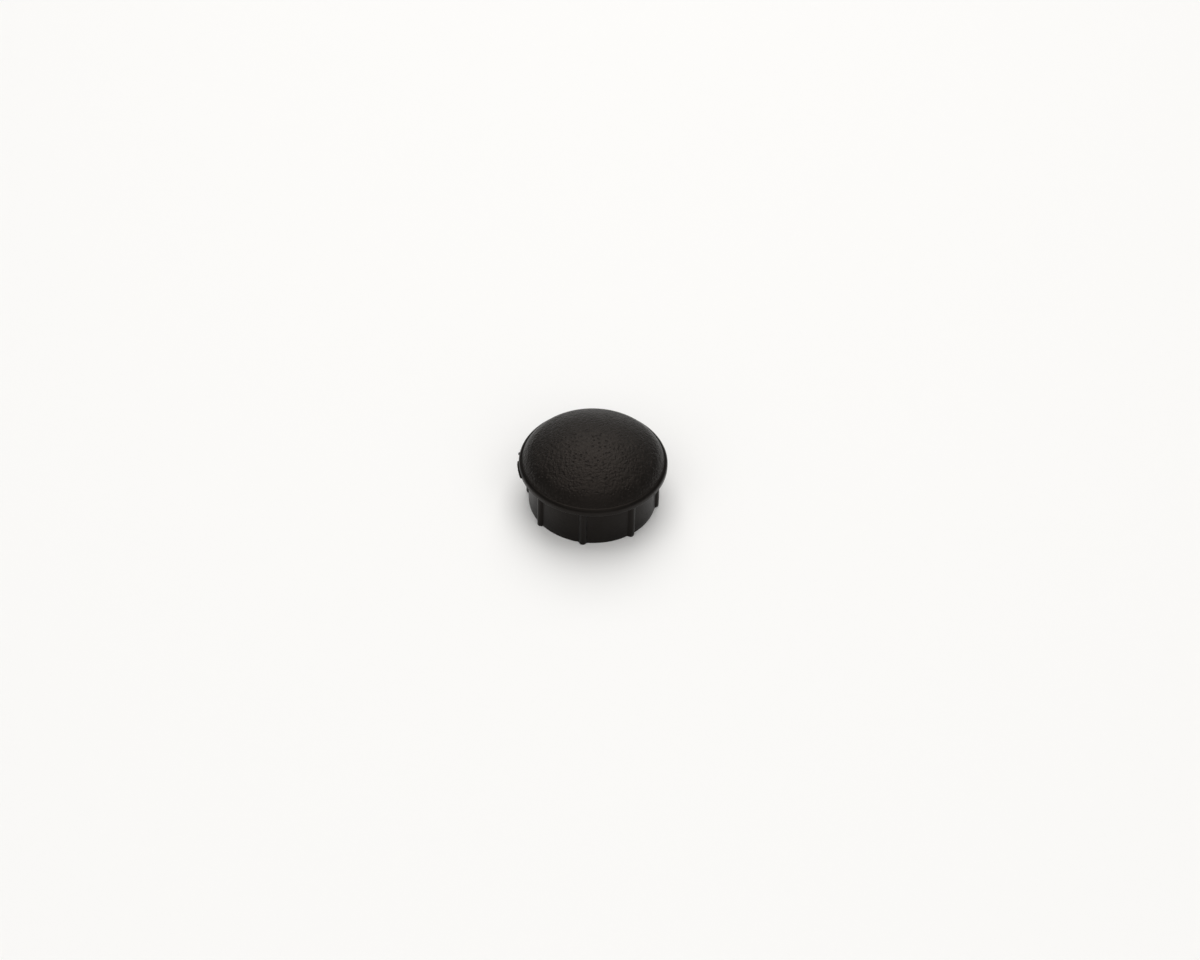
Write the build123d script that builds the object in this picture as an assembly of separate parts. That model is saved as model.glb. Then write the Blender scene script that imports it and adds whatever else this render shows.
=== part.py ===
from build123d import *
import math
import os

# Hole plug: one moulding. Z is up, the origin is the centre of the skirt's open end.

# Skirt
SKIRT_R = 13.0
SKIRT_LENGTH = 9.6
SKIRT_WALL = 1.4
MOUTH_CHAMFER = 0.3
FOOT_ROUND = 0.15
NECK_ROUND = 0.12

# Grip ribs down the outside of the skirt
RIB_COUNT = 8
RIB_ROUND_R = 0.8
RIB_PROUD = 0.65
RIB_ROOT_ROUND = 0.2
RIB_FIRST_DEG = -97.6

# Rim of the head
RIM_R = 15.0
RIM_EDGE = 0.75
RIM_ROUND_R = 0.8
RIM_LOWER_ROUND = 0.12

# Dome
DOME_CREASE_R = 14.3
DOME_RISE = 5.35
CROWN_R = 26.0
SHOULDER_R = 5.0
DOME_WALL = 1.5
INNER_CORNER_R = 0.9

# Gate mark: a broken film of plastic along the rim's lower edge
FLASH_PROUD = 0.33
FLASH_THICK = 0.2
FLASH_LIFT = 0.05
FLASH_MIDDLE_DEG = -171.0
FLASH_SPAN_DEG = 19.0
NIB_THICK = 0.36
NIB_MIDDLE_DEG = -188.5
NIB_SPAN_DEG = 2.6

# Where the sizes above put things
RIM_ROUND_Z = SKIRT_LENGTH + RIM_EDGE
CREASE_Z = RIM_ROUND_Z + RIM_ROUND_R
APEX_Z = CREASE_Z + DOME_RISE
CROWN_Z = APEX_Z - CROWN_R
BORE_R = SKIRT_R - SKIRT_WALL


def shoulder_centre():
    """Where the shoulder's arc touches the crown's and still ends on the crease."""
    drop = CREASE_Z - CROWN_Z
    far = CROWN_R - SHOULDER_R
    gap = math.hypot(DOME_CREASE_R, drop)
    along = (far**2 - SHOULDER_R**2 + gap**2) / (2 * gap)
    aside = math.sqrt(far**2 - along**2)
    radius = (along * DOME_CREASE_R - aside * drop) / gap
    height = CROWN_Z + (along * drop + aside * DOME_CREASE_R) / gap
    return radius, height


def dome_arcs(inset, end_r):
    """Shoulder and crown arcs, set in from the outside, from a radius up to the axis."""
    centre_r, centre_z = shoulder_centre()
    shoulder = SHOULDER_R - inset
    crown = CROWN_R - inset
    join = math.degrees(math.atan2(centre_z - CROWN_Z, centre_r))
    start = math.degrees(math.acos((end_r - centre_r) / shoulder))
    first = CenterArc((centre_r, centre_z), shoulder, start, join - start)
    second = CenterArc((0, CROWN_Z), crown, join, 90 - join)
    return first, second


def turned(outline):
    face = make_face(outline)
    return revolve(Plane.XZ * face, Axis.Z, 360)


def head():
    """Dome and rim, solid down to the rim's underside."""
    round_r = RIM_R - RIM_ROUND_R
    shoulder, crown = dome_arcs(0, DOME_CREASE_R)
    lift = math.degrees(math.acos((DOME_CREASE_R - round_r) / RIM_ROUND_R))
    bead = CenterArc((round_r, RIM_ROUND_Z), RIM_ROUND_R, 0, lift)
    low_in = (RIM_R - RIM_LOWER_ROUND, SKIRT_LENGTH)
    low_out = (RIM_R, SKIRT_LENGTH + RIM_LOWER_ROUND)
    outline = [
        shoulder,
        crown,
        Line(shoulder @ 0, bead @ 1),
        bead,
        Line(bead @ 0, low_out),
        RadiusArc(low_out, low_in, RIM_LOWER_ROUND),
        Polyline(low_in, (0, SKIRT_LENGTH), (0, APEX_Z)),
    ]
    return turned(outline)


def sleeve():
    """Skirt with its ribs, solid right through."""
    rib_r = SKIRT_R + RIB_PROUD - RIB_ROUND_R
    section = Circle(SKIRT_R)
    for index in range(RIB_COUNT):
        turn = RIB_FIRST_DEG - 90 + index * 360 / RIB_COUNT
        section += Rot(0, 0, turn) * Pos(rib_r, 0) * Circle(RIB_ROUND_R)
    section = fillet(section.vertices(), RIB_ROOT_ROUND)
    return extrude(section, SKIRT_LENGTH + 0.3)


def hollow():
    """Space inside the skirt and under the dome."""
    shoulder, crown = dome_arcs(DOME_WALL, BORE_R)
    corner = shoulder @ 0
    mouth = (BORE_R + MOUTH_CHAMFER + 1, -1)
    outline = [
        shoulder,
        crown,
        Polyline(crown @ 1, (0, -1), mouth, (BORE_R, MOUTH_CHAMFER), corner),
    ]
    shape = turned(outline)
    ring = shape.edges().filter_by(GeomType.CIRCLE)
    ring = [e for e in ring if abs(e.center().Z - corner.Y) < 0.01]
    return fillet(ring, INNER_CORNER_R)


def rim_film(middle, span, thick):
    """Piece of flash standing out of the rim's lower edge."""
    centre = (RIM_R + FLASH_PROUD - 0.3, SKIRT_LENGTH + FLASH_LIFT + thick / 2)
    section = Pos(*centre) * Rectangle(0.6, thick)
    section = fillet(section.vertices().sort_by(Axis.X)[2:], thick * 0.3)
    film = revolve(Plane.XZ * section, Axis.Z, span)
    return Rot(0, 0, middle - span / 2) * film


def level_edges(shape, height, within):
    """Edges lying at one height and inside one radius."""
    found = []
    for edge in shape.edges():
        middle = edge @ 0.5
        level = abs(edge.center().Z - height) < 1e-6
        if level and math.hypot(middle.X, middle.Y) < within:
            found.append(edge)
    return found


def hole_plug():
    body = head() + sleeve()
    body = fillet(level_edges(body, SKIRT_LENGTH, RIM_R - 0.3), NECK_ROUND)
    body = fillet(level_edges(body, 0, RIM_R), FOOT_ROUND)
    body -= hollow()
    body += rim_film(FLASH_MIDDLE_DEG, FLASH_SPAN_DEG, FLASH_THICK)
    body += rim_film(NIB_MIDDLE_DEG, NIB_SPAN_DEG, NIB_THICK)
    return body


os.makedirs("parts", exist_ok=True)
export_step(hole_plug(), "parts/hole_plug.step")
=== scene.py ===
"""A black plastic hole plug standing on its skirt, on a white studio floor.

Everything is in metres, Z up, with the origin at the centre of the skirt's open end.
"""

import logging
import math
from dataclasses import dataclass, field
from enum import Enum

import bmesh
import bpy
from mathutils import Matrix, Vector, noise


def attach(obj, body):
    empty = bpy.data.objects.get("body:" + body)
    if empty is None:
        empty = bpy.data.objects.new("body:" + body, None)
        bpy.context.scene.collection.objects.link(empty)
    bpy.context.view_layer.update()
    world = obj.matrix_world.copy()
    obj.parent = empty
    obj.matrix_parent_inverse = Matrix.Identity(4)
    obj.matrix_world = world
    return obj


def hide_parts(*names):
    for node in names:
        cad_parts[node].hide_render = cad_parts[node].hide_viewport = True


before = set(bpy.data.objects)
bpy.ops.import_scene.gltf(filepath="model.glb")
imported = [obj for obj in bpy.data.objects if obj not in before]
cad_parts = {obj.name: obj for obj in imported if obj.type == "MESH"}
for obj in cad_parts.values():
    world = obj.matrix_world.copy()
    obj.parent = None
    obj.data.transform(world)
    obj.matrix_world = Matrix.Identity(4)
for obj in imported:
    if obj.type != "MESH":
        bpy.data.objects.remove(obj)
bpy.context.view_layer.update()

LOG = logging.getLogger("hole_plug")
MM = 0.001
Point = tuple[float, float]

# Places of the sockets that share a name on a node: colours on Mix, whole numbers on Compare
MIX_FIRST, MIX_SECOND, MIX_RESULT = 6, 7, 2
COMPARE_FIRST, COMPARE_SECOND = 2, 3


class Zone(Enum):
    """Parts of the moulding that come out of the tool with their own finish."""

    DOME = 0
    WALLS = 1
    HOLLOW = 2


# ---------------------------------------------------------------- shader groups


def add_socket(
    tree: bpy.types.NodeTree, name: str, kind: str, into: bool, value: object = None
) -> bpy.types.NodeTreeInterfaceSocket:
    """Adds a named socket to a node group.

    Args:
        tree: The group.
        name: The socket's name.
        kind: Its type, such as NodeSocketFloat.
        into: True for an input, False for an output.
        value: Default value of an input, if it has one.

    Returns:
        The new interface socket.
    """
    socket = tree.interface.new_socket(
        name=name, in_out="INPUT" if into else "OUTPUT", socket_type=kind
    )
    if value is not None:
        socket.default_value = value
    return socket


class Wiring:
    """Makes nodes in one tree and joins them up in few words."""

    def __init__(self, tree: bpy.types.NodeTree) -> None:
        """Keeps the tree that the nodes go into."""
        self.tree = tree

    def node(self, kind: str, **settings: object) -> bpy.types.Node:
        """Adds a node.

        Args:
            kind: The node's type.
            **settings: Properties to set on it.

        Returns:
            The node.
        """
        made = self.tree.nodes.new(kind)
        for name, value in settings.items():
            setattr(made, name, value)
        return made

    def join(self, start: bpy.types.NodeSocket, end: bpy.types.NodeSocket) -> None:
        """Links one socket to another."""
        self.tree.links.new(start, end)

    def maths(
        self, operation: str, first: object, second: object = None, clamp: bool = False
    ) -> bpy.types.NodeSocket:
        """Adds a Math node.

        Args:
            operation: What it does, such as MULTIPLY.
            first: A socket or a number.
            second: A socket or a number, for an operation that takes two.
            clamp: Whether the result is kept between 0 and 1.

        Returns:
            The node's output.
        """
        made = self.node("ShaderNodeMath", operation=operation, use_clamp=clamp)
        for place, item in enumerate((first, second)):
            if isinstance(item, bpy.types.NodeSocket):
                self.join(item, made.inputs[place])
            elif item is not None:
                made.inputs[place].default_value = item
        return made.outputs[0]

    def ramp(
        self, source: bpy.types.NodeSocket, low: float, high: float
    ) -> bpy.types.NodeSocket:
        """Smooth step of a value from 0 at low to 1 at high.

        Args:
            source: The value.
            low: Where the step starts.
            high: Where it ends.

        Returns:
            The stepped value.
        """
        made = self.node("ShaderNodeMapRange", interpolation_type="SMOOTHSTEP")
        self.join(source, made.inputs["Value"])
        made.inputs["From Min"].default_value = low
        made.inputs["From Max"].default_value = high
        return made.outputs["Result"]


def noise_field(
    wiring: Wiring, position: bpy.types.NodeSocket, scale: object, detail: float
) -> bpy.types.NodeSocket:
    """Three-dimensional noise between 0 and 1.

    Args:
        wiring: The tree's wiring.
        position: Where the noise is read.
        scale: Cells in a metre, a number or a socket.
        detail: Octaves of finer noise.

    Returns:
        The noise value.
    """
    made = wiring.node("ShaderNodeTexNoise")
    wiring.join(position, made.inputs["Vector"])
    if isinstance(scale, bpy.types.NodeSocket):
        wiring.join(scale, made.inputs["Scale"])
    else:
        made.inputs["Scale"].default_value = scale
    made.inputs["Detail"].default_value = detail
    return made.outputs["Fac"]


def spark_grain_group() -> bpy.types.NodeTree:
    """Pitted grain that a spark-eroded tool leaves on a moulding.

    Returns:
        A group from a position and a grain pitch to a height and a tone.
    """
    tree = bpy.data.node_groups.new("spark_grain", "ShaderNodeTree")
    add_socket(tree, "Position", "NodeSocketVector", True)
    add_socket(tree, "Pits per metre", "NodeSocketFloat", True, 3000.0)
    add_socket(tree, "Height", "NodeSocketFloat", False)
    add_socket(tree, "Tone", "NodeSocketFloat", False)
    w = Wiring(tree)
    given = w.node("NodeGroupInput")
    place, pitch = given.outputs["Position"], given.outputs["Pits per metre"]
    fine_ratio, pit_ratio = 2.7, 0.75
    coarse_share, fine_share, pit_share = 0.5, 0.2, 0.8
    low, high = 0.3, 0.7
    pit_floor, pit_lip = 0.10, 0.36
    coarse = noise_field(w, place, pitch, 2.0)
    fine = noise_field(w, place, w.maths("MULTIPLY", pitch, fine_ratio), 1.0)
    pores = w.node("ShaderNodeTexVoronoi")
    w.join(place, pores.inputs["Vector"])
    w.join(w.maths("MULTIPLY", pitch, pit_ratio), pores.inputs["Scale"])
    pit = w.ramp(pores.outputs["Distance"], pit_floor, pit_lip)
    height = w.maths(
        "ADD",
        w.maths("MULTIPLY", w.ramp(coarse, low, high), coarse_share),
        w.maths("MULTIPLY", w.ramp(fine, low, high), fine_share),
    )
    height = w.maths("ADD", height, w.maths("MULTIPLY", pit, pit_share))
    made = w.node("NodeGroupOutput")
    w.join(height, made.inputs["Height"])
    w.join(w.maths("SUBTRACT", 1.0, pit), made.inputs["Tone"])
    return tree


def shelf_dust_group() -> bpy.types.NodeTree:
    """Faint dust and handling haze that a stored part picks up.

    Returns:
        A group from a position to a patchy haze and a mask of single specks.
    """
    tree = bpy.data.node_groups.new("shelf_dust", "ShaderNodeTree")
    add_socket(tree, "Position", "NodeSocketVector", True)
    add_socket(tree, "Specks per metre", "NodeSocketFloat", True, 900.0)
    add_socket(tree, "Haze", "NodeSocketFloat", False)
    add_socket(tree, "Specks", "NodeSocketFloat", False)
    w = Wiring(tree)
    given = w.node("NodeGroupInput")
    speck_core, speck_edge = 0.04, 0.12
    rare_from, rare_to = 0.93, 0.96
    haze_per_metre, haze_octaves = 160.0, 4.0
    haze_from, haze_to = 0.35, 0.75
    cells = w.node("ShaderNodeTexVoronoi")
    w.join(given.outputs["Position"], cells.inputs["Vector"])
    w.join(given.outputs["Specks per metre"], cells.inputs["Scale"])
    near = w.maths("SUBTRACT", 1.0, w.ramp(cells.outputs["Distance"], speck_core, speck_edge))
    split = w.node("ShaderNodeSeparateColor")
    w.join(cells.outputs["Color"], split.inputs["Color"])
    rare = w.ramp(split.outputs["Red"], rare_from, rare_to)
    made = w.node("NodeGroupOutput")
    haze = noise_field(w, given.outputs["Position"], haze_per_metre, haze_octaves)
    w.join(w.ramp(haze, haze_from, haze_to), made.inputs["Haze"])
    w.join(w.maths("MULTIPLY", near, rare), made.inputs["Specks"])
    return tree


# ---------------------------------------------------------------- finishes


@dataclass(frozen=True)
class BlackPlastic:
    """Carbon-black moulding plastic with tool grain, haze and specks of dust."""

    name: str
    colour: tuple[float, float, float] = (0.0044, 0.0040, 0.0037)
    haze_colour: tuple[float, float, float] = (0.0066, 0.0061, 0.0056)
    speck_colour: tuple[float, float, float] = (0.060, 0.056, 0.050)
    roughness: float = 0.42
    roughness_spread: float = 0.06
    specular: float = 0.20
    specular_tint: tuple[float, float, float] = (1.0, 0.84, 0.74)
    ior: float = 1.49
    pit_share: float = 0.6
    haze_share: float = 0.4
    pits_per_metre: float = 1700.0
    grain_depth: float = 0.110 * MM

    def material(
        self, grain: bpy.types.NodeTree, dust: bpy.types.NodeTree
    ) -> bpy.types.Material:
        """Builds the material.

        Args:
            grain: The tool grain group.
            dust: The dust group.

        Returns:
            The material.
        """
        made = bpy.data.materials.new(self.name)
        made.use_nodes = True
        made.diffuse_color = (*self.colour, 1.0)
        w = Wiring(made.node_tree)
        shader = next(n for n in w.tree.nodes if n.type == "BSDF_PRINCIPLED")
        place = w.node("ShaderNodeTexCoord").outputs["Object"]
        pits = w.node("ShaderNodeGroup", node_tree=grain)
        w.join(place, pits.inputs["Position"])
        pits.inputs["Pits per metre"].default_value = self.pits_per_metre
        dirt = w.node("ShaderNodeGroup", node_tree=dust)
        w.join(place, dirt.inputs["Position"])

        hazed = w.node("ShaderNodeMix", data_type="RGBA")
        w.join(dirt.outputs["Haze"], hazed.inputs["Factor"])
        hazed.inputs[MIX_FIRST].default_value = (*self.colour, 1.0)
        hazed.inputs[MIX_SECOND].default_value = (*self.haze_colour, 1.0)
        specked = w.node("ShaderNodeMix", data_type="RGBA")
        w.join(dirt.outputs["Specks"], specked.inputs["Factor"])
        w.join(hazed.outputs[MIX_RESULT], specked.inputs[MIX_FIRST])
        specked.inputs[MIX_SECOND].default_value = (*self.speck_colour, 1.0)
        w.join(specked.outputs[MIX_RESULT], shader.inputs["Base Color"])

        mixed = w.maths(
            "ADD",
            w.maths("MULTIPLY", pits.outputs["Tone"], self.pit_share),
            w.maths("MULTIPLY", dirt.outputs["Haze"], self.haze_share),
        )
        spread = w.maths("MULTIPLY", w.maths("SUBTRACT", mixed, 0.5), 2 * self.roughness_spread)
        w.join(w.maths("ADD", spread, self.roughness, clamp=True), shader.inputs["Roughness"])
        shader.inputs["Specular IOR Level"].default_value = self.specular
        shader.inputs["Specular Tint"].default_value = (*self.specular_tint, 1.0)
        shader.inputs["IOR"].default_value = self.ior

        bump = w.node("ShaderNodeBump")
        bump.inputs["Strength"].default_value = 1.0
        bump.inputs["Distance"].default_value = self.grain_depth
        w.join(pits.outputs["Height"], bump.inputs["Height"])
        w.join(bump.outputs["Normal"], shader.inputs["Normal"])
        return made


@dataclass(frozen=True)
class StudioFloor:
    """Matt white sweep that the plug stands on."""

    name: str = "studio_white"
    colour: tuple[float, float, float] = (0.905, 0.91, 0.915)
    roughness: float = 0.9

    def material(self) -> bpy.types.Material:
        """Builds the material.

        Returns:
            The material.
        """
        made = bpy.data.materials.new(self.name)
        made.use_nodes = True
        shader = next(n for n in made.node_tree.nodes if n.type == "BSDF_PRINCIPLED")
        shader.inputs["Base Color"].default_value = (*self.colour, 1.0)
        shader.inputs["Roughness"].default_value = self.roughness
        shader.inputs["Specular IOR Level"].default_value = 0.0
        return made


@dataclass
class FinishShelf:
    """The finishes that the moulding uses, each built once."""

    materials: dict[Zone, bpy.types.Material] = field(default_factory=dict)
    film: bpy.types.Material | None = None

    def build(self) -> None:
        """Makes the shared groups and every material."""
        grain, dust = spark_grain_group(), shelf_dust_group()
        recipes = {
            Zone.DOME: BlackPlastic("grained_dome"),
            Zone.WALLS: BlackPlastic(
                "satin_walls", roughness=0.36, specular=0.13, grain_depth=0.012 * MM
            ),
            Zone.HOLLOW: BlackPlastic(
                "hollow_black", roughness=0.46, specular=0.16, grain_depth=0.016 * MM
            ),
        }
        for zone, recipe in recipes.items():
            self.materials[zone] = recipe.material(grain, dust)
        torn = BlackPlastic("torn_film", roughness=0.5, pits_per_metre=2600.0)
        self.film = torn.material(grain, dust)


# ---------------------------------------------------------------- outline helpers


def arc_points(
    centre: Point, radius: float, start: float, end: float, steps: int
) -> list[Point]:
    """Points along an arc, both ends included.

    Args:
        centre: The arc's centre.
        radius: Its radius.
        start: Angle of its first point, in degrees.
        end: Angle of its last point, in degrees.
        steps: Spans between the points.

    Returns:
        The points in order.
    """
    turns = [math.radians(start + (end - start) * k / steps) for k in range(steps + 1)]
    return [(centre[0] + radius * math.cos(t), centre[1] + radius * math.sin(t)) for t in turns]


@dataclass(frozen=True)
class Row:
    """One level of the moulding's skin: its radius is base plus share of the rib section."""

    base: float
    share: float
    height: float
    zone: Zone


# ---------------------------------------------------------------- the moulding


@dataclass
class PlugBody:
    """Domed head, rounded rim and ribbed skirt, made in one piece."""

    skirt_r: float = 13.0 * MM
    skirt_length: float = 9.6 * MM
    bore_r: float = 11.6 * MM
    mouth_chamfer: float = 0.3 * MM
    foot_round: float = 0.15 * MM
    neck_round: float = 0.12 * MM
    rib_count: int = 8
    rib_round_r: float = 0.8 * MM
    rib_proud: float = 0.65 * MM
    rib_root: float = 0.2 * MM
    first_rib_deg: float = -97.6
    rim_r: float = 15.0 * MM
    rim_edge: float = 0.75 * MM
    rim_round_r: float = 0.8 * MM
    rim_lower_round: float = 0.12 * MM
    crease_r: float = 14.3 * MM
    dome_rise: float = 5.35 * MM
    crown_r: float = 26.0 * MM
    shoulder_r: float = 5.0 * MM
    dome_wall: float = 1.5 * MM
    inner_corner_r: float = 0.9 * MM
    merge_within: float = 0.002 * MM
    rib_steps: int = 12
    root_steps: int = 6
    wall_steps: int = 12
    dome_steps: int = 26
    bead_steps: int = 14
    round_steps: int = 4
    foot_steps: int = 5
    skirt_levels: int = 8
    bore_levels: int = 6
    corner_steps: int = 8
    inner_shoulder_steps: int = 14
    inner_crown_steps: int = 20

    @property
    def round_z(self) -> float:
        """Height of the rim bead's centre."""
        return self.skirt_length + self.rim_edge

    @property
    def crease_z(self) -> float:
        """Height where the dome meets the rim bead."""
        return self.round_z + self.rim_round_r

    @property
    def crown_z(self) -> float:
        """Height of the crown arc's centre."""
        return self.crease_z + self.dome_rise - self.crown_r

    def shoulder_centre(self) -> Point:
        """Centre of the arc that touches the crown and ends on the crease.

        Returns:
            Its radius from the axis and its height.
        """
        drop = self.crease_z - self.crown_z
        far = self.crown_r - self.shoulder_r
        gap = math.hypot(self.crease_r, drop)
        along = (far**2 - self.shoulder_r**2 + gap**2) / (2 * gap)
        aside = math.sqrt(far**2 - along**2)
        radius = (along * self.crease_r - aside * drop) / gap
        return radius, self.crown_z + (along * drop + aside * self.crease_r) / gap

    def section(self) -> list[Point]:
        """Half of one rib and the wall beside it, seen from above.

        Returns:
            Angle from the rib's middle in radians, and radius, in order outwards.
        """
        middle = self.skirt_r + self.rib_proud - self.rib_round_r
        out, joined = self.skirt_r + self.rib_root, self.rib_round_r + self.rib_root
        turn = math.acos((out**2 + middle**2 - joined**2) / (2 * out * middle))
        root = (out * math.cos(turn), out * math.sin(turn))
        lean = math.degrees(math.atan2(root[1], root[0] - middle))
        flat = arc_points((middle, 0), self.rib_round_r, 0, lean, self.rib_steps)
        back = lean - 180
        end = math.degrees(turn) - 180
        flat += arc_points(root, self.rib_root, back, end, self.root_steps)[1:]
        half = math.pi / self.rib_count
        for k in range(1, self.wall_steps + 1):
            at = turn + (half - turn) * k / self.wall_steps
            flat.append((self.skirt_r * math.cos(at), self.skirt_r * math.sin(at)))
        return [(math.atan2(y, x), math.hypot(x, y)) for x, y in flat]

    def outer_rows(self) -> list[Row]:
        """Skin from the top of the dome down to the foot of the skirt.

        Returns:
            The rows in order.
        """
        centre = self.shoulder_centre()
        join = math.degrees(math.atan2(centre[1] - self.crown_z, centre[0]))
        low = math.degrees(math.acos((self.crease_r - centre[0]) / self.shoulder_r))
        dome = arc_points((0, self.crown_z), self.crown_r, 90, join, self.dome_steps)
        dome += arc_points(centre, self.shoulder_r, join, low, self.dome_steps)[1:]
        middle = self.rim_r - self.rim_round_r
        lift = math.degrees(math.acos((self.crease_r - middle) / self.rim_round_r))
        rim = arc_points((middle, self.round_z), self.rim_round_r, lift, 0, self.bead_steps)
        small = self.rim_lower_round
        lower = (self.rim_r - small, self.skirt_length + small)
        rim += arc_points(lower, small, 0, -90, self.round_steps)
        rows = [Row(r, 0, z, Zone.DOME) for r, z in dome]
        rows += [Row(r, 0, z, Zone.WALLS) for r, z in rim]
        neck, foot = self.neck_round, self.foot_round
        top, levels = self.skirt_length - neck, self.skirt_levels
        skirt = arc_points((neck, top), neck, 90, 180, self.round_steps)
        skirt += [(0.0, top + (foot - top) * k / levels) for k in range(1, levels)]
        skirt += arc_points((-foot, foot), foot, 0, -90, self.foot_steps)
        rows += [Row(r, 1, z, Zone.WALLS) for r, z in skirt]
        return rows

    def inner_rows(self) -> list[Row]:
        """Skin from the mouth of the skirt up to the middle of the hollow.

        Returns:
            The rows in order.
        """
        centre = self.shoulder_centre()
        shoulder, crown = self.shoulder_r - self.dome_wall, self.crown_r - self.dome_wall
        corner, bore = self.inner_corner_r, self.bore_r
        aside = bore - corner - centre[0]
        up = math.sqrt((shoulder - corner) ** 2 - aside**2)
        lean = math.degrees(math.atan2(up, aside))
        join = math.degrees(math.atan2(centre[1] - self.crown_z, centre[0]))
        chamfer, top, levels = self.mouth_chamfer, centre[1] + up, self.bore_levels
        path = [(bore + chamfer, 0.0), (bore, chamfer)]
        path += [(bore, chamfer + (top - chamfer) * k / levels) for k in range(1, levels)]
        path += arc_points((bore - corner, top), corner, 0, lean, self.corner_steps)
        path += arc_points(centre, shoulder, lean, join, self.inner_shoulder_steps)[1:]
        path += arc_points((0, self.crown_z), crown, join, 90, self.inner_crown_steps)[1:]
        return [Row(r, 0, z, Zone.HOLLOW) for r, z in path]

    def sector(self) -> bpy.types.Object:
        """Builds the skin of one rib and half the wall each side of it.

        Returns:
            An object whose faces carry their zone as an attribute.
        """
        right = self.section()
        columns = [(-turn, radius) for turn, radius in reversed(right[1:])] + right
        rows = self.outer_rows() + self.inner_rows()
        mesh = bpy.data.meshes.new("plug_sector")
        work = bmesh.new()
        zone = work.faces.layers.int.new("zone")
        grid = []
        for row in rows:
            if abs(row.base) < 1e-9 and not row.share:
                grid.append([work.verts.new((0.0, 0.0, row.height))])
                continue
            line = []
            for turn, radius in columns:
                reach = row.base + row.share * radius
                line.append(
                    work.verts.new((reach * math.cos(turn), reach * math.sin(turn), row.height))
                )
            grid.append(line)
        for row, upper, lower in zip(rows[1:], grid, grid[1:]):
            for k in range(len(columns) - 1):
                ring = [*lower[k : k + 2], *reversed(upper[k : k + 2])]
                if len(upper) == 1:
                    ring = [lower[k], lower[k + 1], upper[0]]
                elif len(lower) == 1:
                    ring = [lower[0], upper[k + 1], upper[k]]
                work.faces.new(ring)[zone] = row.zone.value
        work.to_mesh(mesh)
        work.free()
        made = bpy.data.objects.new("plug_sector", mesh)
        bpy.context.scene.collection.objects.link(made)
        return made

    def ring_tree(self, finishes: FinishShelf) -> bpy.types.NodeTree:
        """Geometry Nodes that repeat the sector round the axis and dress it.

        Args:
            finishes: The materials, one for each zone.

        Returns:
            The tree, with inputs for the count, the first angle and the merge distance.
        """
        tree = bpy.data.node_groups.new("rib_ring", "GeometryNodeTree")
        tree.is_modifier = True
        add_socket(tree, "Sector", "NodeSocketGeometry", True)
        add_socket(tree, "Rib count", "NodeSocketInt", True, 3)
        add_socket(tree, "First angle", "NodeSocketFloat", True, 0.0)
        add_socket(tree, "Merge within", "NodeSocketFloat", True, 0.0)
        add_socket(tree, "Body", "NodeSocketGeometry", False)
        w = Wiring(tree)
        given = w.node("NodeGroupInput")
        points = w.node("GeometryNodePoints")
        w.join(given.outputs["Rib count"], points.inputs["Count"])
        step = w.maths("DIVIDE", math.tau, given.outputs["Rib count"])
        turn = w.maths("MULTIPLY", w.node("GeometryNodeInputIndex").outputs[0], step)
        turn = w.maths("ADD", turn, given.outputs["First angle"])
        euler = w.node("ShaderNodeCombineXYZ")
        w.join(turn, euler.inputs["Z"])
        rotation = w.node("FunctionNodeEulerToRotation")
        w.join(euler.outputs[0], rotation.inputs[0])
        ring = w.node("GeometryNodeInstanceOnPoints")
        w.join(points.outputs[0], ring.inputs["Points"])
        w.join(given.outputs["Sector"], ring.inputs["Instance"])
        w.join(rotation.outputs[0], ring.inputs["Rotation"])
        real = w.node("GeometryNodeRealizeInstances")
        w.join(ring.outputs[0], real.inputs[0])
        merged = w.node("GeometryNodeMergeByDistance")
        w.join(real.outputs[0], merged.inputs["Geometry"])
        w.join(given.outputs["Merge within"], merged.inputs["Distance"])
        smooth = w.node("GeometryNodeSetShadeSmooth")
        w.join(merged.outputs[0], smooth.inputs["Geometry"])
        last = smooth.outputs[0]
        mark = w.node("GeometryNodeInputNamedAttribute", data_type="INT")
        mark.inputs["Name"].default_value = "zone"
        for zone, material in finishes.materials.items():
            same = w.node("FunctionNodeCompare", data_type="INT", operation="EQUAL")
            w.join(mark.outputs["Attribute"], same.inputs[COMPARE_FIRST])
            same.inputs[COMPARE_SECOND].default_value = zone.value
            dress = w.node("GeometryNodeSetMaterial")
            w.join(last, dress.inputs["Geometry"])
            w.join(same.outputs[0], dress.inputs["Selection"])
            dress.inputs["Material"].default_value = material
            last = dress.outputs[0]
        w.join(last, w.node("NodeGroupOutput").inputs["Body"])
        return tree

    def build(self, finishes: FinishShelf) -> bpy.types.Object:
        """Makes the finished body as a plain mesh.

        Args:
            finishes: The materials, one for each zone.

        Returns:
            The body's object, at the origin.
        """
        seed = self.sector()
        tree = self.ring_tree(finishes)
        modifier = seed.modifiers.new("rib_ring", "NODES")
        modifier.node_group = tree
        values = {
            "Rib count": self.rib_count,
            "First angle": math.radians(self.first_rib_deg - 90),
            "Merge within": self.merge_within,
        }
        for item in tree.interface.items_tree:
            if item.name in values and item.in_out == "INPUT":
                modifier[item.identifier] = values[item.name]
        seed.update_tag()
        graph = bpy.context.evaluated_depsgraph_get()
        mesh = bpy.data.meshes.new_from_object(seed.evaluated_get(graph), depsgraph=graph)
        mesh.name = "plug_body"
        bpy.data.objects.remove(seed)
        work = bmesh.new()
        work.from_mesh(mesh)
        bmesh.ops.recalc_face_normals(work, faces=work.faces)
        work.to_mesh(mesh)
        work.free()
        made = bpy.data.objects.new("plug_body", mesh)
        bpy.context.scene.collection.objects.link(made)
        return made


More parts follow.
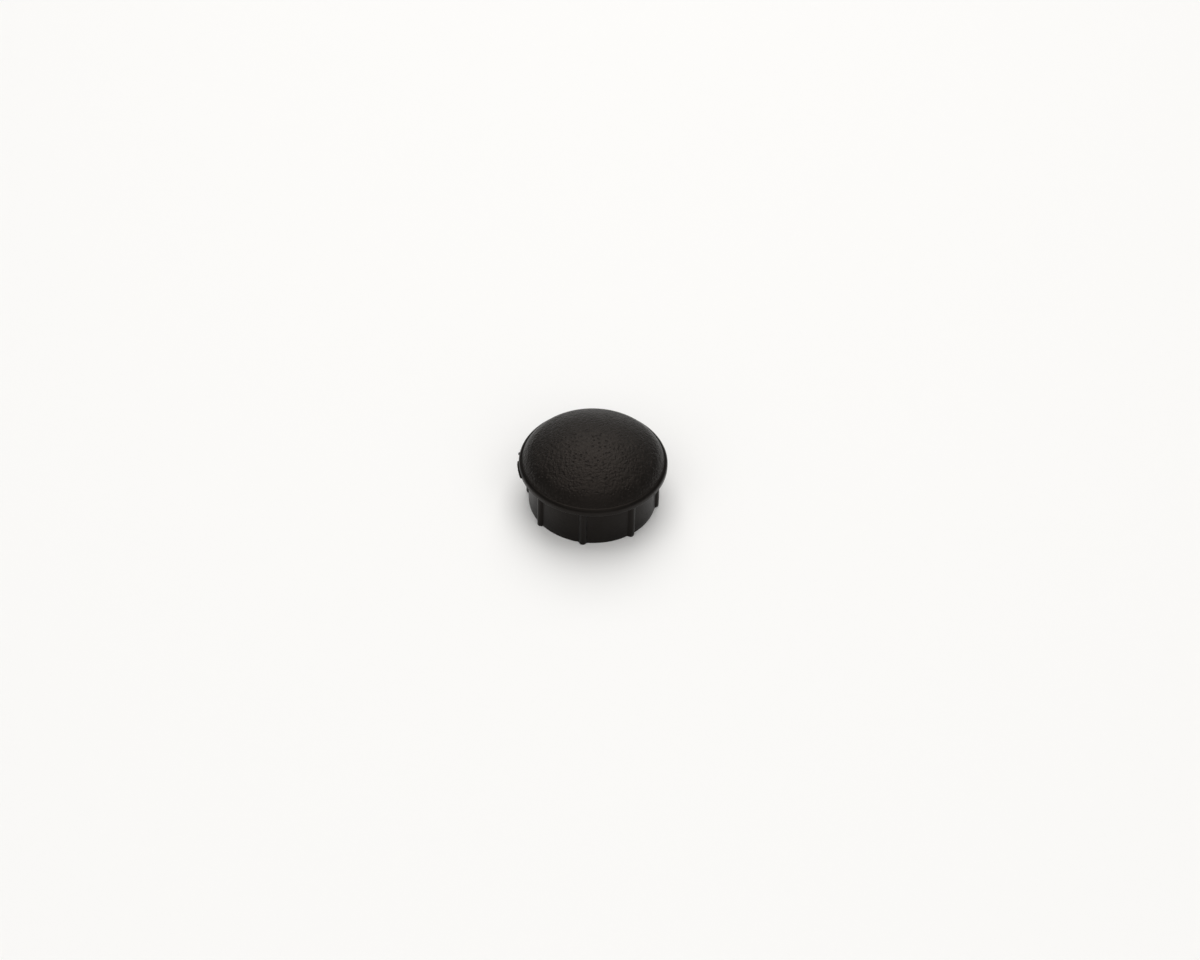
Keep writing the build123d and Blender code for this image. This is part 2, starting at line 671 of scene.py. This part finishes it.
@dataclass
class GateFlash:
    """Broken film of plastic along the rim's lower edge, and the nib beside it."""

    rim_r: float = 15.0 * MM
    proud: float = 0.33 * MM
    bury: float = 0.27 * MM
    base_z: float = 9.65 * MM
    film_thick: float = 0.2 * MM
    film_middle_deg: float = -171.0
    film_span_deg: float = 19.0
    nib_thick: float = 0.36 * MM
    nib_middle_deg: float = -188.5
    nib_span_deg: float = 2.6
    torn: float = 0.09 * MM
    tear_pitch: float = 0.7 * MM
    steps_per_degree: int = 5
    fewest_steps: int = 6
    taper_deg: float = 0.9
    tip_sunk: float = 0.02 * MM
    edge_round_share: float = 0.3
    edge_steps: int = 3

    def strip(
        self, work: bmesh.types.BMesh, middle: float, span: float, thick: float, torn: float
    ) -> None:
        """Adds one closed strip of film to a mesh.

        Args:
            work: The mesh being built.
            middle: Angle of its middle, in degrees.
            span: Angle that it covers, in degrees.
            thick: Its thickness.
            torn: How far the outer edge may fall back.
        """
        steps = max(self.fewest_steps, round(span * self.steps_per_degree))
        loops = []
        for k in range(steps + 1):
            share = k / steps
            turn = math.radians(middle + span * (share - 0.5))
            along = Vector((math.cos(turn), math.sin(turn), 0.0)) * (self.rim_r / self.tear_pitch)
            fall = torn * (0.5 + 0.5 * noise.noise(along))
            ends = min(share, 1 - share) * span / self.taper_deg
            taper = math.sqrt(max(0.0, 1 - (1 - min(1.0, ends)) ** 2))
            reach = self.rim_r + (self.proud - fall) * taper - self.tip_sunk * (1 - taper)
            corner = thick * self.edge_round_share
            low, high = self.base_z + corner, self.base_z + thick - corner
            flat = [(self.rim_r - self.bury, self.base_z)]
            flat += arc_points((reach - corner, low), corner, -90, 0, self.edge_steps)
            flat += arc_points((reach - corner, high), corner, 0, 90, self.edge_steps)
            flat += [(self.rim_r - self.bury, self.base_z + thick)]
            loops.append(
                [work.verts.new((r * math.cos(turn), r * math.sin(turn), z)) for r, z in flat]
            )
        size = len(loops[0])
        for near, far in zip(loops, loops[1:]):
            for k in range(size):
                after = (k + 1) % size
                work.faces.new((near[k], near[after], far[after], far[k]))
        work.faces.new(loops[0])
        work.faces.new(list(reversed(loops[-1])))

    def build(self, finishes: FinishShelf) -> bpy.types.Object:
        """Makes the film and the nib.

        Args:
            finishes: The materials.

        Returns:
            Their object, at the origin.
        """
        mesh = bpy.data.meshes.new("gate_flash")
        work = bmesh.new()
        self.strip(work, self.film_middle_deg, self.film_span_deg, self.film_thick, self.torn)
        self.strip(work, self.nib_middle_deg, self.nib_span_deg, self.nib_thick, 0.0)
        bmesh.ops.recalc_face_normals(work, faces=work.faces)
        for face in work.faces:
            face.smooth = len(face.verts) == 4
        work.to_mesh(mesh)
        work.free()
        mesh.materials.append(finishes.film)
        made = bpy.data.objects.new("gate_flash", mesh)
        bpy.context.scene.collection.objects.link(made)
        return made


# ---------------------------------------------------------------- the studio


@dataclass(frozen=True)
class Softbox:
    """A flat lamp aimed at the plug, kept out of its reflections if in_gloss is False."""

    name: str
    azimuth_deg: float
    elevation_deg: float
    distance: float
    width: float
    height: float
    watts: float
    in_gloss: bool = True
    colour: tuple[float, float, float] = (1.0, 0.985, 0.96)

    def build(self, target: Vector) -> bpy.types.Object:
        """Makes the lamp, turned to the target.

        Args:
            target: The point it faces.

        Returns:
            The lamp's object.
        """
        lamp = bpy.data.lights.new(self.name, "AREA")
        lamp.shape = "RECTANGLE"
        lamp.size, lamp.size_y = self.width, self.height
        lamp.energy = self.watts
        lamp.color = self.colour
        made = bpy.data.objects.new(self.name, lamp)
        turn, rise = math.radians(self.azimuth_deg), math.radians(self.elevation_deg)
        away = Vector(
            (math.sin(turn) * math.cos(rise), -math.cos(turn) * math.cos(rise), math.sin(rise))
        )
        made.location = target + away * self.distance
        made.rotation_mode = "QUATERNION"
        made.rotation_quaternion = (-away).to_track_quat("-Z", "Y")
        made.visible_camera = False
        made.visible_glossy = self.in_gloss
        bpy.context.scene.collection.objects.link(made)
        return made


@dataclass
class Studio:
    """White floor, dim plain world and soft lamps."""

    floor_half: float = 1.5
    floor_cells: int = 8
    aim_z: float = 8 * MM
    world_colour: tuple[float, float, float] = (1.0, 0.985, 0.965)
    world_strength: float = 0.17
    floor: StudioFloor = field(default_factory=StudioFloor)
    lamps: tuple[Softbox, ...] = (
        Softbox("back_softbox", 180, 62, 1.0, 0.9, 1.3, 8.2),
        Softbox("front_softbox", 0, 50, 1.0, 1.4, 0.8, 2.2),
        Softbox("room_fill", 0, 55, 1.0, 2.4, 1.6, 7.4, in_gloss=False),
    )

    def build(self) -> None:
        """Lays the floor and sets up the light."""
        mesh = bpy.data.meshes.new("studio_floor")
        work = bmesh.new()
        cells = self.floor_cells
        bmesh.ops.create_grid(work, x_segments=cells, y_segments=cells, size=self.floor_half)
        work.to_mesh(mesh)
        work.free()
        mesh.materials.append(self.floor.material())
        ground = bpy.data.objects.new("studio_floor", mesh)
        bpy.context.scene.collection.objects.link(ground)
        for lamp in self.lamps:
            lamp.build(Vector((0, 0, self.aim_z)))
        self.build_world()

    def build_world(self) -> None:
        """Sets a dim white world that looks white to the camera."""
        world = bpy.data.worlds.new("studio_world")
        bpy.context.scene.world = world
        world.use_nodes = True
        w = Wiring(world.node_tree)
        sky = next(n for n in w.tree.nodes if n.type == "BACKGROUND")
        sky.inputs["Color"].default_value = (*self.world_colour, 1.0)
        seen = w.node("ShaderNodeLightPath").outputs["Is Camera Ray"]
        rest = w.maths("MULTIPLY", w.maths("SUBTRACT", 1.0, seen), self.world_strength)
        w.join(w.maths("ADD", seen, rest), sky.inputs["Strength"])


@dataclass
class ViewCamera:
    """Camera looking down on the plug from the front."""

    lens: float = 70.0
    sensor: float = 36.0
    distance: float = 470.0 * MM
    elevation_deg: float = 43.8
    roll_deg: float = 1.3
    aim_z: float = 10.25 * MM
    turned_right_deg: float = 0.167
    turned_down_deg: float = 0.452

    def build(self) -> bpy.types.Object:
        """Makes the scene's camera.

        Returns:
            The camera's object.
        """
        lens = bpy.data.cameras.new("view_camera")
        lens.lens, lens.sensor_width = self.lens, self.sensor
        lens.clip_start, lens.clip_end = 0.01, 20.0
        made = bpy.data.objects.new("view_camera", lens)
        bpy.context.scene.collection.objects.link(made)
        rise = math.radians(self.elevation_deg)
        away = Vector((0.0, -math.cos(rise), math.sin(rise)))
        made.location = Vector((0, 0, self.aim_z)) + away * self.distance
        made.rotation_mode = "QUATERNION"
        facing = (-away).to_track_quat("-Z", "Y").to_matrix()
        facing = facing @ Matrix.Rotation(math.radians(self.roll_deg), 3, "Z")
        facing = facing @ Matrix.Rotation(-math.radians(self.turned_right_deg), 3, "Y")
        facing = facing @ Matrix.Rotation(-math.radians(self.turned_down_deg), 3, "X")
        made.rotation_quaternion = facing.to_quaternion()
        bpy.context.scene.camera = made
        return made


def place(piece: bpy.types.Object) -> None:
    """Ties a finished piece to the frame and reports it.

    Args:
        piece: The piece's object.
    """
    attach(piece, "root")
    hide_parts("hole_plug")
    LOG.info("%s: %d faces", piece.name, len(piece.data.polygons))


def main() -> None:
    """Builds the plug, the studio and the camera."""
    logging.basicConfig(level=logging.INFO)
    bpy.context.scene.view_settings.view_transform = "Standard"
    finishes = FinishShelf()
    finishes.build()
    place(PlugBody().build(finishes))
    place(GateFlash().build(finishes))
    Studio().build()
    ViewCamera().build()


if __name__ == "__main__":
    main()
